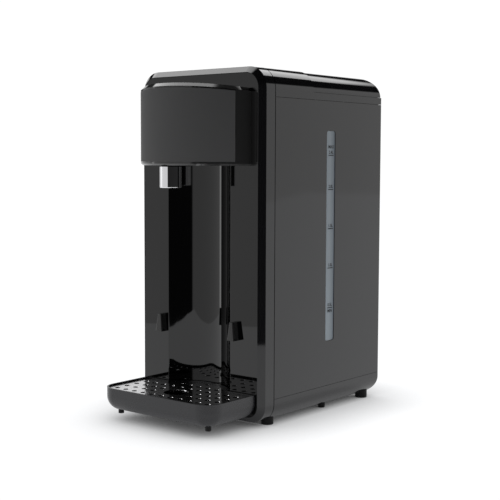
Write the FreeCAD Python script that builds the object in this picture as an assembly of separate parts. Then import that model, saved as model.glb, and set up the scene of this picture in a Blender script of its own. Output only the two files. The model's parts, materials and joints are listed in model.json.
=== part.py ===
"""Soda carbonator: tower body, drum head, lift-off drip tray, rear water tank and gas cylinder.

Millimetres. X is the width, -Y the front, +Z up; the origin is on the floor, in the middle
of the overall width and depth. Every function below makes the shapes of one sub-part.
"""
import FreeCAD, Part
import math
import os

V = FreeCAD.Vector
RIGHT, BACKWARD, UP = V(1, 0, 0), V(0, 1, 0), V(0, 0, 1)

# ---------------------------------------------------------------- driving dimensions
WIDTH = 200.0
HEIGHT = 430.0
BODY_DEPTH = 257.5
TRAY_REACH = 82.5                # how far the tray stands out in front of the body
HINGE_RADIUS = 3.0               # lid hinge barrels, half sunk in the back of the body
HINGE_SINK = 0.5
WALL = 2.6                       # moulded covers
SEAM = 0.4                       # open joint between two covers, lengthways
FRAME_SEAM = 1.2                 # round the body behind the front frame
LID_SEAM = 1.4                   # between top cover and lid

BODY_BOTTOM = 5.5
BASE_TOP = 33.4
SIDE_TOP = 394.6
RIM_TOP = 403.4
TOP_RADIUS = 26.0
BOTTOM_RADIUS = 22.0
CORNER_RADIUS = 5.0
BEVEL = 7.0                      # round the front of the frame
FRAME_DEPTH = 23.25
TOP_COVER_DEPTH = 100.0
LID_INSET = 1.0

HALF = WIDTH / 2
OVERALL_DEPTH = TRAY_REACH + BODY_DEPTH + HINGE_RADIUS - HINGE_SINK
FRONT = TRAY_REACH - OVERALL_DEPTH / 2
BACK = FRONT + BODY_DEPTH
FRAME_BACK = FRONT + FRAME_DEPTH
LID_FRONT = FRONT + TOP_COVER_DEPTH
PANEL_FACE = FRONT + 0.3

# front panel and its bottle channel
PANEL_INSET = BEVEL + 0.75
PANEL_THICK = 3.0
CHANNEL_RADIUS = 63.0            # a shallow arc, centred in front of the panel
CHANNEL_LIP = 1.5
CHANNEL_CENTRE = FRONT - 37.0
CHANNEL_FLOOR = 23.0
CHANNEL_TOP = 318.0

# head
HEAD_RADIUS = 85.5
HEAD_CENTRE = FRONT + 22.0
HEAD_BOTTOM, HEAD_TOP = 313.5, 404.4             # the top is measured at the front panel
HEAD_SLOPE = 5.3                 # degrees; the top rises from the panel to the front
HEAD_CHAMFER = 4.2
HEAD_WALL = 4.5
COVER_ANGLE = 61.0
COVER_THICK = 1.6
COVER_BOTTOM = 317.8
COVER_DROP = 6.0                 # from the sloping top down to the edge of the cover
COVER_GROOVE = 1.5               # shadow gap above the cover
CAP_THICK = 3.3
CAP_POST = 12.0
BUTTON_RADIUS = 8.2
BUTTON_SPACING = 26.0
BUTTON_Y = FRONT - 36.0
BUTTON_TRAVEL = 1.5

# nozzle
NOZZLE_Y = FRONT - 49.4
NOZZLE_RADIUS = 13.0
NOZZLE_WALL = 1.8
SEAL_THICK = 1.5
NOZZLE_BOTTOM = 287.0

# drip tray
TRAY_HALF = 90.0
TRAY_BOTTOM, TRAY_TOP = 12.4, 41.3
TRAY_FRONT = FRONT - TRAY_REACH
TRAY_BACK = FRONT - 0.6
TRAY_CORNER = 22.0
TRAY_BILGE = 18.0                # rounding of the lower edges
TRAY_TAIL_RADIUS = CHANNEL_RADIUS - 1.0
TRAY_TAIL_BOTTOM = 24.5
TRAY_RIM = 2.0
TRAY_WALL = 4.2
TRAY_FLOOR = 2.5
TRAY_FOOT = (71.7, FRONT - 63.4, 7.5)            # x, y, and height of its underside
GRILLE_SEAT = 38.0
GRILLE_THICK = 1.3
HOLE_RADIUS = 3.2
HOLE_BEVEL = 0.5
HOLE_PITCH_X, HOLE_PITCH_Y = 14.8, 16.8
FIRST_ROW = FRONT - 67.0
DRAIN_Y = FRONT - 41.0
DRAIN_RADIUS = 14.5
DRAIN_DEPTH = 2.6

# hooks that the tray hangs on
HOOK_X = 59.0
HOOK_TOP_WIDTH, HOOK_LOW_WIDTH = 5.2, 10.8
HOOK_TOP_REACH, HOOK_LOW_REACH = 8.8, 10.0
RAISED_HOOK = (104.4, 126.5)
RESTING_HOOK = (20.5, 36.0)

# rubber feet: x, y, radius
MAIN_FEET = ((83.5, FRONT + 32.0, 7.5), (85.4, FRONT + 235.0, 8.0))
MIDDLE_FEET = ((80.9, FRONT + 149.0, 4.5),)
FOOT_EDGE = 1.0

# level window in the right-hand side cover
WINDOW_FRONT, WINDOW_BACK = FRONT + 129.3, FRONT + 147.7
WINDOW_BOTTOM, WINDOW_TOP = 91.0, 357.0
WINDOW_CORNER = 3.5

# inner works
SHEET = 2.5
FRONT_WALL_Y = FRONT + 98.0
REAR_WALL_Y = FRONT + 174.5
TANK_LEFT, TANK_RIGHT = -64.0, 95.6
TANK_FRONT, TANK_BACK = FRONT + 103.5, FRONT + 172.5
TANK_BOTTOM, TANK_TOP = 80.5, 392.0
TANK_WALL = 2.5
DECK_BOTTOM, DECK_TOP = 396.0, 398.5
MOUTH = (-48.0, 80.0, FRONT + 112.0, FRONT + 164.0)     # left, right, front, back
CYLINDER_Y = FRONT + 215.5
CYLINDER_RADIUS = 30.0
CYLINDER_BOTTOM, CYLINDER_SHOULDER = 37.0, 318.0
VALVE_BOTTOM, VALVE_TOP = 336.0, 372.0
PUMP_Y, PUMP_Z = FRONT + 138.0, 45.0
CHAMBER_Y, CHAMBER_RADIUS = FRONT + 69.0, 28.0
CHAMBER_BOTTOM, CHAMBER_TOP = 120.0, 280.0
PIPE_Z = 352.0                   # water pipe from the vessel to the nozzle
GAS_X, GAS_Z = -80.0, 384.0      # gas pipe along the left side
LEAD_X, LEAD_Z = -86.0, 24.0     # mains lead along the left side
OUTLET_X = -40.0
SCREW_X = 70.0

# rear service door and the electrics beside it
DOOR_HALF = 72.0
DOOR_BOTTOM, DOOR_TOP = 72.0, 388.0
BARREL = 4.0
DOOR_PIVOT_X = -DOOR_HALF + BARREL
REAR_PANEL_HALF = 88.0
INLET_X, SWITCH_X, ELECTRIC_Z = -45.0, 45.0, 51.0
ROCKER_TILT = 8.0
TRUNNION_RADIUS, TRUNNION_REACH = 1.0, 8.0

# fits
FIT = 0.08                       # running clearance of a pin or shaft, on the radius
GAP = 0.4
TOUCH = 0.03                     # play between fixed round parts that only meet


# ---------------------------------------------------------------- shape helpers
def block(x0, x1, y0, y1, z0, z1):
    """A box between opposite corners."""
    return Part.makeBox(x1 - x0, y1 - y0, z1 - z0, V(x0, y0, z0))


def rod(radius, length, x, y, z, along=UP):
    """A round bar from a point, along a direction."""
    return Part.makeCylinder(radius, length, V(x, y, z), along)


def tube(outer, inner, length, x, y, z, along=UP):
    """A round pipe from a point, along a direction."""
    return rod(outer, length, x, y, z, along).cut(rod(inner, length, x, y, z, along))


def fuse(shapes):
    """One solid from several that meet or overlap."""
    first, rest = shapes[0], shapes[1:]
    return first.fuse(rest).removeSplitter() if rest else first


def hose(points, radius):
    """A pipe that follows straight runs through a list of points, with round elbows."""
    pieces = []
    for start, end in zip(points, points[1:]):
        run = end - start
        pieces.append(Part.makeCylinder(radius, run.Length, start, run))
    for corner in points[1:-1]:
        pieces.append(Part.makeSphere(radius, corner))
    return fuse(pieces)


def mirrored(shape):
    """The same shape on the other side of the middle."""
    return shape.mirror(V(0, 0, 0), RIGHT)


def outline(y, inset):
    """Front view of the body as a wire: rounded at the top and at the bottom."""
    half = HALF - inset
    low, high = BODY_BOTTOM + inset, HEIGHT - inset
    corners = [(half, high, TOP_RADIUS - inset, 0), (-half, high, TOP_RADIUS - inset, 90),
               (-half, low, BOTTOM_RADIUS - inset, 180), (half, low, BOTTOM_RADIUS - inset, 270)]
    arcs = []
    for x, z, radius, start in corners:
        centre_x = x - math.copysign(radius, x)
        centre_z = z - radius if z == high else z + radius
        turn = [math.radians(start + step) for step in (0, 45, 90)]
        points = [V(centre_x + radius * math.cos(a), y, centre_z + radius * math.sin(a)) for a in turn]
        arcs.append((Part.Arc(*points).toShape(), points[0], points[-1]))
    edges = []
    for index, (arc, _, end) in enumerate(arcs):
        following = arcs[(index + 1) % len(arcs)][1]
        edges.append(arc)
        edges.append(Part.makeLine(end, following))
    return Part.Wire(edges)


def slab(y0, y1, inset):
    """The body's front view, extruded from y0 to y1."""
    return Part.Face(outline(y0, inset)).extrude(V(0, y1 - y0, 0))


def envelope(inset):
    """The body without its frame bevel, as one smooth block shrunk by inset on every face."""
    back = BACK - inset
    low, high = BODY_BOTTOM + inset, HEIGHT - inset
    side = block(-HALF, HALF, FRONT, back, low, high)
    for radius, height in ((TOP_RADIUS, high), (BOTTOM_RADIUS, low)):
        rear = [edge for edge in side.Edges
                if edge.BoundBox.YMin > back - 0.01 and edge.BoundBox.XLength > HALF
                and abs(edge.BoundBox.ZMin - height) < 0.01 and edge.BoundBox.ZLength < 0.01]
        side = side.makeFillet(radius - inset, rear)
    body = slab(FRONT, back, inset).common(side)
    corner = [edge for edge in body.Edges
              if edge.BoundBox.YMax > back - 0.01 and edge.BoundBox.ZLength > 2
              and edge.BoundBox.XLength < HALF]
    return body.makeFillet(CORNER_RADIUS - inset / 2, corner)


def inner_works_box(z0, z1):
    """Everything behind the front frame between two heights."""
    return block(-HALF, HALF, FRAME_BACK + FRAME_SEAM, BACK + 1, z0, z1)


# ---------------------------------------------------------------- covers
def make_base_cover(shell):
    """Lower pan below the seam, with a hole for each screw."""
    pan = shell.common(inner_works_box(0, BASE_TOP))
    holes = [rod(2.2, WALL + 1, x, y, BODY_BOTTOM - 0.5) for x, y in screw_places()]
    return pan.cut(Part.makeCompound(holes))


def make_side_cover(shell):
    """Right-hand side cover; it wraps a little way round the rear corner."""
    cover = shell.common(block(0, HALF, FRAME_BACK + FRAME_SEAM, BACK, BASE_TOP + SEAM, SIDE_TOP - SEAM))
    return cover.cut(block(-1, REAR_PANEL_HALF + SEAM, BACK - 20, BACK + 1, 0, HEIGHT))


def window_block(x0, x1, grow):
    """A rounded upright slot, grown by a margin."""
    slot = block(x0, x1, WINDOW_FRONT - grow, WINDOW_BACK + grow, WINDOW_BOTTOM - grow, WINDOW_TOP + grow)
    corners = [edge for edge in slot.Edges if edge.BoundBox.XLength > (x1 - x0) / 2]
    return slot.makeFillet(WINDOW_CORNER + grow, corners)


def make_rear_panel(shell):
    """Rear wall between the side covers, open for the service door and the electrics."""
    half = REAR_PANEL_HALF
    panel = shell.common(block(-half, half, BACK - 6, BACK, BASE_TOP + SEAM, SIDE_TOP - SEAM))
    lug_y0, lug_y1 = BACK - 2 * BARREL - GAP, BACK - WALL / 2
    lug_x0, lug_x1 = DOOR_PIVOT_X - BARREL - 1, DOOR_PIVOT_X + BARREL + 1
    doorway = DOOR_HALF + GAP
    panel = panel.cut(block(-doorway, doorway, BACK - 9, BACK + 1, DOOR_BOTTOM - GAP, DOOR_TOP + GAP))
    upper = block(lug_x0, lug_x1, lug_y0, lug_y1, DOOR_TOP + GAP, DOOR_TOP + 5)
    lower = block(lug_x0, lug_x1, lug_y0, lug_y1, DOOR_BOTTOM - 8, DOOR_BOTTOM - GAP)
    panel = fuse([panel, upper, lower])
    panel = panel.cut(rod(2.0, 20, DOOR_PIVOT_X, BACK - BARREL, DOOR_TOP - 5))
    panel = panel.cut(rod(2.0, 10, DOOR_PIVOT_X, BACK - BARREL, DOOR_BOTTOM - 9))
    for x in (INLET_X, SWITCH_X):
        panel = panel.cut(block(x - 12, x + 12, BACK - 8, BACK + 1, ELECTRIC_Z - 10.5, ELECTRIC_Z + 10.5))
    return panel


def hinge_spans():
    """X ranges of the lid hinge barrels: (fixed, moving) for one side of the body."""
    return (55.0, 65.0), ((47.7, 54.7), (65.3, 72.3))


def hinge_rod(x0, x1, radius):
    """A round bar on the lid hinge axis."""
    return rod(radius, x1 - x0, x0, BACK - HINGE_SINK, RIM_TOP + 0.25, RIGHT)


def both_sides(shape):
    """A shape and its mirror image, as one compound."""
    return Part.makeCompound([shape, mirrored(shape)])


def finger_groove():
    """Shallow groove along the seam between top cover and lid."""
    reach, radius = 66.0, 4.0
    height = HEIGHT + 1.4
    bar = rod(radius, 2 * reach, -reach, LID_FRONT, height, RIGHT)
    ends = [Part.makeSphere(radius, V(x, LID_FRONT, height)) for x in (-reach, reach)]
    return fuse([bar] + ends)


def make_top_cover(shell):
    """Front part of the top with the rim that runs round the rear opening."""
    roof = shell.common(block(-HALF, HALF, FRAME_BACK + FRAME_SEAM, LID_FRONT, SIDE_TOP, HEIGHT))
    rim = shell.common(inner_works_box(SIDE_TOP, RIM_TOP))
    step = envelope(WALL).common(block(-HALF, HALF, LID_FRONT - WALL, LID_FRONT, RIM_TOP - 4, HEIGHT))
    cover = fuse([roof, rim, step]).cut(finger_groove())
    fixed, moving = hinge_spans()
    for span in moving:
        cover = cover.cut(both_sides(hinge_rod(span[0] - 0.3, span[1] + 0.3, HINGE_RADIUS + 0.35)))
    knuckle = hinge_rod(fixed[0], fixed[1], HINGE_RADIUS)
    cover = fuse([cover, knuckle, mirrored(knuckle)])
    return cover.cut(both_sides(hinge_rod(fixed[0], fixed[1], 1.2)))


def make_front_frame():
    """Bevelled ring round the front panel, with a hollow back."""
    bevel = Part.makeLoft([outline(FRONT, BEVEL), outline(FRONT + BEVEL, 0)], True, True)
    ring = fuse([bevel, slab(FRONT + BEVEL, FRAME_BACK, 0)])
    opening = slab(FRONT - 1, FRAME_BACK + 1, BEVEL + 0.5)
    hollow = slab(FRONT + BEVEL + WALL, FRAME_BACK + 1, WALL)
    return ring.cut(opening).cut(hollow)


def channel(offset, z0, z1):
    """The bottle channel as a cutter, grown by an offset."""
    arc = rod(CHANNEL_RADIUS + offset, z1 - z0, 0, CHANNEL_CENTRE, z0)
    return arc.common(block(-HALF, HALF, PANEL_FACE - PANEL_THICK, BACK, z0, z1))


def make_front_panel():
    """Gloss panel inside the frame, with a shallow upright channel for the bottle."""
    behind = CHANNEL_CENTRE + CHANNEL_RADIUS + PANEL_THICK
    panel = slab(PANEL_FACE, behind, PANEL_INSET).cut(channel(0, CHANNEL_FLOOR, CHANNEL_TOP))
    tall = CHANNEL_TOP - CHANNEL_FLOOR
    lips = [edge for edge in panel.Edges
            if edge.BoundBox.YMax < PANEL_FACE + 0.01 and abs(edge.BoundBox.ZLength - tall) < 0.01]
    panel = panel.makeFillet(CHANNEL_LIP, lips)
    inner = slab(PANEL_FACE + PANEL_THICK, behind + 1, PANEL_INSET)
    keep = channel(PANEL_THICK, BODY_BOTTOM, CHANNEL_TOP + PANEL_THICK)
    panel = panel.cut(inner.cut(keep))
    return panel.cut(rod(5.0, 20, 0, FRONT - 5, PIPE_Z, BACKWARD))


# ---------------------------------------------------------------- lid and door
def make_tank_lid():
    """Large rounded rear lid, hollow, with its hinge barrels."""
    space = block(-HALF, HALF, LID_FRONT + LID_SEAM, BACK, RIM_TOP + SEAM, HEIGHT)
    outer = envelope(LID_INSET)
    lid = outer.cut(envelope(LID_INSET + WALL)).common(space)
    edge = LID_FRONT + LID_SEAM
    front_wall = outer.common(block(-HALF, HALF, edge, edge + WALL, RIM_TOP + SEAM, HEIGHT))
    lid = fuse([lid, front_wall]).cut(finger_groove())
    fixed, moving = hinge_spans()
    lid = lid.cut(both_sides(hinge_rod(fixed[0] - 0.3, fixed[1] + 0.3, HINGE_RADIUS + 0.35)))
    for span in moving:
        barrel = hinge_rod(span[0], span[1], HINGE_RADIUS)
        lid = fuse([lid, barrel, mirrored(barrel)])
        lid = lid.cut(both_sides(hinge_rod(span[0], span[1], 1.2 + FIT)))
    return lid


def make_lid_pins():
    """One pin through each group of lid hinge barrels."""
    moving = hinge_spans()[1]
    return both_sides(hinge_rod(moving[0][0], moving[1][1], 1.2))


def make_lid_inner_panel():
    """Inner skin of the lid on four posts."""
    low, high = RIM_TOP + 1.2, RIM_TOP + 3.2
    plate = block(-80, 84, LID_FRONT + 8, BACK - 20, low, high)
    roof = HEIGHT - LID_INSET - WALL
    posts = [rod(4, roof - high, x, y, high) for x in (-58, 58) for y in (LID_FRONT + 22, BACK - 40)]
    return fuse([plate] + posts)


def make_lid_seal():
    """Rubber ring under the lid, just above the fill mouth."""
    left, right, front, back = MOUTH
    low, high = DECK_TOP + 4.3, RIM_TOP + 1.2
    ring = block(left - 7, right + 4, front - 3.2, back + 5, low, high)
    return ring.cut(block(left - 1, right - 1, front + 1, back - 1, low, high))


def make_rear_door():
    """Service door over the gas cylinder, on a round edge that turns about the pins."""
    plate = block(DOOR_PIVOT_X, DOOR_HALF, BACK - WALL, BACK, DOOR_BOTTOM, DOOR_TOP)
    barrel = rod(BARREL, DOOR_TOP - DOOR_BOTTOM, DOOR_PIVOT_X, BACK - BARREL, DOOR_BOTTOM)
    door = fuse([plate, barrel])
    bore = rod(2.0 + FIT, 14, DOOR_PIVOT_X, BACK - BARREL, DOOR_BOTTOM)
    door = door.cut(bore).cut(bore.translated(V(0, 0, DOOR_TOP - DOOR_BOTTOM - 14)))
    scoop = Part.makeSphere(16, V(DOOR_HALF - 4, BACK + 14.4, (DOOR_BOTTOM + DOOR_TOP) / 2))
    return door.cut(scoop)


def make_door_pins():
    """Two pivot pins held in the rear panel."""
    pivot_y = BACK - BARREL
    lower = rod(2.0, 17, DOOR_PIVOT_X, pivot_y, DOOR_BOTTOM - 7)
    upper = rod(2.0, 16, DOOR_PIVOT_X, pivot_y, DOOR_TOP - 12)
    return Part.makeCompound([lower, upper])


# ---------------------------------------------------------------- head
def sloped(shape):
    """A shape made level with HEAD_TOP, turned to lie on the head's sloping top."""
    return shape.rotate(V(0, PANEL_FACE, HEAD_TOP), RIGHT, -HEAD_SLOPE)


def above_slope(drop):
    """All the space above the head's sloping top, lowered by a drop."""
    return sloped(block(-HALF, HALF, PANEL_FACE - HALF, PANEL_FACE + HALF, HEAD_TOP - drop, HEAD_TOP + HALF))


def drum(radius, z0, drop):
    """The head's plan as a solid, from a height up to the lowered sloping top."""
    whole = rod(radius, HEAD_TOP + HALF / 2 - z0, 0, HEAD_CENTRE, z0).cut(above_slope(drop))
    return whole.cut(block(-HALF, HALF, PANEL_FACE, HALF, z0 - 1, HEAD_TOP + HALF))


def cover_sector(inner, outer, z0, drop, angle):
    """A curved strip round the front of the head."""
    start = V(0, HEAD_CENTRE, z0)
    tall = HEAD_TOP + HALF / 2 - z0
    ring = Part.makeCylinder(outer, tall, start, UP, 2 * angle)
    ring = ring.cut(Part.makeCylinder(inner, tall, start, UP, 360))
    return ring.rotate(start, UP, -90 - angle).cut(above_slope(drop))


def head_front_cover():
    """Satin skin of the head."""
    return cover_sector(HEAD_RADIUS - COVER_THICK, HEAD_RADIUS, COVER_BOTTOM, COVER_DROP, COVER_ANGLE)


def make_head_housing():
    """Hollow drum with bevelled edges, a recess for the skin, a ledge for the cap."""
    body = drum(HEAD_RADIUS, HEAD_BOTTOM, 0)
    upper = [edge for edge in body.Edges
             if edge.BoundBox.ZMin > HEAD_TOP - 0.01 and edge.BoundBox.YLength > 1]
    body = body.makeChamfer(HEAD_CHAMFER, upper)
    lower = [edge for edge in body.Edges
             if edge.BoundBox.ZMax < HEAD_BOTTOM + 0.01 and edge.BoundBox.YLength > 1]
    body = body.makeChamfer(HEAD_CHAMFER / 2, lower)
    recess = cover_sector(HEAD_RADIUS - COVER_THICK - 0.1, HEAD_RADIUS + 1,
                          COVER_BOTTOM - 0.3, COVER_DROP - COVER_GROOVE, COVER_ANGLE + 0.3)
    cavity = drum(HEAD_RADIUS - HEAD_WALL, HEAD_BOTTOM + WALL, CAP_THICK + WALL)
    mouth = drum(HEAD_RADIUS - 12, HEAD_BOTTOM + HALF / 2, 0)
    seat = drum(HEAD_RADIUS - 8, HEAD_BOTTOM + HALF / 2, 0).common(above_slope(CAP_THICK))
    body = body.cut(recess).cut(cavity).cut(mouth).cut(seat)
    return body.cut(rod(8.0, 10, 0, NOZZLE_Y, HEAD_BOTTOM - 1))


def button_places():
    """X of each push button on the head."""
    return {"power_button": -BUTTON_SPACING, "water_button": 0.0, "fizz_button": BUTTON_SPACING}


def make_head_cap():
    """Top plate of the head, with button holes and two posts that carry the button board."""
    cap = drum(HEAD_RADIUS - 8.3, HEAD_BOTTOM, 0).common(above_slope(CAP_THICK))
    cap = cap.cut(block(-HALF, HALF, PANEL_FACE - 0.3, PANEL_FACE + 1, 0, HEIGHT))
    for x in button_places().values():
        cap = cap.cut(sloped(rod(BUTTON_RADIUS + 0.3, CAP_THICK + 2, x, BUTTON_Y, HEAD_TOP - CAP_THICK - 1)))
    posts = [sloped(rod(2.5, CAP_POST, x, BUTTON_Y, HEAD_TOP - CAP_THICK - CAP_POST)) for x in (-39.5, 39.5)]
    return fuse([cap] + posts)


def make_button(x):
    """A round key with a collar below the cap."""
    collar_top = HEAD_TOP - CAP_THICK - 0.2
    key = rod(BUTTON_RADIUS, HEAD_TOP + 0.6 - collar_top, x, BUTTON_Y, collar_top)
    rim = [edge for edge in key.Edges if edge.BoundBox.ZMin > HEAD_TOP]
    key = key.makeFillet(0.5, rim)
    return sloped(fuse([key, rod(BUTTON_RADIUS + 1.4, 2.0, x, BUTTON_Y, collar_top - 2.0)]))


def make_button_board():
    """Small circuit board under the buttons."""
    top = HEAD_TOP - CAP_THICK - CAP_POST
    return sloped(block(-43, 43, BUTTON_Y - 9, BUTTON_Y + 9, top - 1.6, top))


def make_button_switches():
    """One small push switch below each button."""
    low = HEAD_TOP - CAP_THICK - CAP_POST
    high = HEAD_TOP - CAP_THICK - 2.2 - BUTTON_TRAVEL - 0.2
    bodies = []
    for x in button_places().values():
        body = block(x - 3, x + 3, BUTTON_Y - 3, BUTTON_Y + 3, low, low + 4)
        bodies.append(sloped(fuse([body, rod(1.7, high - low - 4, x, BUTTON_Y, low + 4)])))
    return Part.makeCompound(bodies)


def make_nozzle():
    """Chrome outlet below the head: a sleeve with a rounded foot and a neck above."""
    seal = HEAD_BOTTOM - SEAL_THICK
    sleeve = rod(NOZZLE_RADIUS, seal - NOZZLE_BOTTOM, 0, NOZZLE_Y, NOZZLE_BOTTOM)
    foot = [edge for edge in sleeve.Edges if edge.BoundBox.ZMax < NOZZLE_BOTTOM + 0.01]
    sleeve = sleeve.makeFillet(1.0, foot)
    sleeve = sleeve.cut(rod(NOZZLE_RADIUS - NOZZLE_WALL, 14, 0, NOZZLE_Y, NOZZLE_BOTTOM))
    neck = rod(7.8, 14, 0, NOZZLE_Y, seal)
    return fuse([sleeve, neck]).cut(rod(4.0, 50, 0, NOZZLE_Y, NOZZLE_BOTTOM))


def make_nozzle_seal():
    """Flat rubber washer between nozzle and head."""
    return tube(NOZZLE_RADIUS - 1, 7.9, SEAL_THICK, 0, NOZZLE_Y, HEAD_BOTTOM - SEAL_THICK)


def make_nozzle_insert():
    """Black flow straightener inside the nozzle, with small outlet holes round a middle one."""
    low = NOZZLE_BOTTOM + 1.5
    insert = rod(NOZZLE_RADIUS - NOZZLE_WALL - TOUCH, 8, 0, NOZZLE_Y, low).cut(rod(2.0, 8, 0, NOZZLE_Y, low))
    for step in range(6):
        angle = math.radians(60 * step)
        insert = insert.cut(rod(1.2, 8, 6.5 * math.cos(angle), NOZZLE_Y + 6.5 * math.sin(angle), low))
    return insert


# ---------------------------------------------------------------- drip tray
def tray_block(inset, z0, z1, bilge):
    """The tray's main block, shrunk by an inset, with rounded front corners and lower edges."""
    half, front, back = TRAY_HALF - inset, TRAY_FRONT + inset, TRAY_BACK - inset
    body = block(-half, half, front, back, z0, z1)
    corners = [edge for edge in body.Edges
               if edge.BoundBox.ZLength > (z1 - z0) / 2 and edge.BoundBox.YMax < front + 0.01]
    body = body.makeFillet(TRAY_CORNER - inset, corners)
    if bilge:
        lower = [edge for edge in body.Edges
                 if edge.BoundBox.ZMax < z0 + 0.01 and edge.BoundBox.YMin < back - 0.01]
        body = body.makeFillet(bilge, lower)
    return body


def tray_tail(inset, z0, z1):
    """The round tail of the tray that fills the foot of the channel."""
    tail = rod(TRAY_TAIL_RADIUS - inset, z1 - z0, 0, CHANNEL_CENTRE, z0)
    return tail.common(block(-HALF, HALF, TRAY_BACK - 8, BACK, z0, z1))


def prism(points, run):
    """A flat polygon extruded along a vector."""
    return Part.Face(Part.makePolygon(points + points[:1])).extrude(run)


def hook(z0, z1):
    """A tapered peg on the front panel that the tray hangs on."""
    low_y, top_y = PANEL_FACE - HOOK_LOW_REACH, PANEL_FACE - HOOK_TOP_REACH
    low, top = HOOK_LOW_WIDTH / 2, HOOK_TOP_WIDTH / 2
    front_view = prism([V(HOOK_X - low, low_y, z0), V(HOOK_X + low, low_y, z0),
                        V(HOOK_X + top, low_y, z1), V(HOOK_X - top, low_y, z1)], V(0, HOOK_LOW_REACH, 0))
    side_view = prism([V(0, PANEL_FACE, z0), V(0, low_y, z0),
                       V(0, top_y, z1), V(0, PANEL_FACE, z1)], V(HALF, 0, 0))
    peg = front_view.common(side_view)
    front = [edge for edge in peg.Edges if edge.BoundBox.YMax < PANEL_FACE - 1 and edge.BoundBox.ZLength > 5]
    return peg.makeFillet(1.2, front)


def tray_shell():
    """The tray's outside as a solid, with its tail and its rounded lower rear edge."""
    body = tray_block(0, TRAY_BOTTOM, TRAY_TOP, TRAY_BILGE)
    turn = TRAY_BILGE
    scrap = block(-HALF, HALF, TRAY_BACK - turn, TRAY_BACK + 1, TRAY_BOTTOM - 1, TRAY_BOTTOM + turn)
    scrap = scrap.cut(rod(turn, WIDTH, -HALF, TRAY_BACK - turn, TRAY_BOTTOM + turn, RIGHT))
    return fuse([body.cut(scrap), tray_tail(0, TRAY_TAIL_BOTTOM, TRAY_TOP)])


def make_drip_tray():
    """Boat-shaped tray with a ledge for the grille and two sockets that drop over the hooks."""
    body = tray_shell()
    floor = TRAY_BOTTOM + TRAY_FLOOR
    basin = tray_block(TRAY_WALL, floor, TRAY_TOP + 1, TRAY_BILGE - 3)
    basin = basin.cut(block(-HALF, HALF, TRAY_BACK - 12, TRAY_BACK, 0, TRAY_TAIL_BOTTOM + TRAY_FLOOR))
    basin = fuse([basin, tray_tail(TRAY_WALL, TRAY_TAIL_BOTTOM + TRAY_FLOOR, TRAY_TOP + 1)])
    tower_x = HOOK_X - HOOK_LOW_WIDTH / 2 - 3
    tower = block(tower_x, tower_x + HOOK_LOW_WIDTH + 6, TRAY_BACK - 13, TRAY_BACK, floor, GRILLE_SEAT)
    basin = basin.cut(both_sides(tower))
    body = body.cut(basin)
    seat = tray_block(TRAY_RIM, GRILLE_SEAT, TRAY_TOP + 1, 0)
    body = body.cut(fuse([seat, tray_tail(TRAY_RIM, GRILLE_SEAT, TRAY_TOP + 1)]))
    socket_x = HOOK_X - HOOK_LOW_WIDTH / 2 - GAP
    socket = block(socket_x, socket_x + HOOK_LOW_WIDTH + 2 * GAP,
                   PANEL_FACE - HOOK_LOW_REACH - GAP, TRAY_BACK + 1,
                   TRAY_BOTTOM - 1, RESTING_HOOK[1] + 0.1)
    return body.cut(both_sides(socket))


def grille_holes():
    """Centres of the drain holes: a square grid that leaves out the big drain."""
    places = []
    for row in range(6):
        y = FIRST_ROW + row * HOLE_PITCH_Y
        for column in range(-5, 6):
            x = column * HOLE_PITCH_X
            in_tail = math.hypot(x, y - CHANNEL_CENTRE) < TRAY_TAIL_RADIUS - 7
            on_main = y < TRAY_BACK - 8
            near_drain = math.hypot(x, y - DRAIN_Y) < DRAIN_RADIUS + HOLE_RADIUS + 3
            if (in_tail or on_main) and not near_drain:
                places.append((x, y))
    return places


def bevelled_bore(radius, x, y, top):
    """A cutter for a round hole with a bevelled rim at the top."""
    bore = rod(radius, 5, x, y, top - 4)
    rim = Part.makeCone(radius, radius + HOLE_BEVEL, HOLE_BEVEL, V(x, y, top - HOLE_BEVEL), UP)
    return fuse([bore, rim])


def make_drip_grille():
    """Flat steel grille with a turned-down collar round the big drain."""
    gap = TRAY_RIM + GAP
    top = GRILLE_SEAT + GRILLE_THICK
    plate = fuse([tray_block(gap, GRILLE_SEAT, top, 0), tray_tail(gap, GRILLE_SEAT, top)])
    collar = rod(DRAIN_RADIUS + 0.8, DRAIN_DEPTH, 0, DRAIN_Y, top - DRAIN_DEPTH)
    plate = fuse([plate, collar])
    plate = plate.cut(bevelled_bore(DRAIN_RADIUS, 0, DRAIN_Y, top))
    holes = [bevelled_bore(HOLE_RADIUS, x, y, top) for x, y in grille_holes()]
    return plate.cut(Part.makeCompound(holes))


def make_tray_feet():
    """Two small feet under the front of the tray, shaped to its underside."""
    x, y, low = TRAY_FOOT
    foot = rod(3.5, 12, x, y, low).cut(tray_shell())
    return both_sides(foot)


# ---------------------------------------------------------------- feet and screws
def make_feet(places, solid_body):
    """Rubber feet in pairs, shaped to the underside of the body."""
    feet = []
    for x, y, radius in places:
        foot = rod(radius, BODY_BOTTOM + 10, x, y, 0)
        edge = [e for e in foot.Edges if e.BoundBox.ZMax < 0.01]
        foot = foot.makeFillet(FOOT_EDGE, edge).cut(solid_body)
        feet += [foot, mirrored(foot)]
    return Part.makeCompound(feet)


def screw_places():
    """Plan positions of the base screws, one pair below each inner wall."""
    return [(x, y) for x in (-SCREW_X, SCREW_X) for y in (FRONT_WALL_Y - 6, REAR_WALL_Y + SHEET + 6)]


def make_base_screws():
    """Pan-head screws from below, through the base cover into the inner walls."""
    screws = []
    for x, y in screw_places():
        head = rod(4.0, 2.2, x, y, BODY_BOTTOM - 2.2)
        socket = rod(1.6, 1.2, x, y, BODY_BOTTOM - 2.2)
        screws.append(fuse([head, rod(2.0, 13, x, y, BODY_BOTTOM)]).cut(socket))
    return Part.makeCompound(screws)


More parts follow.
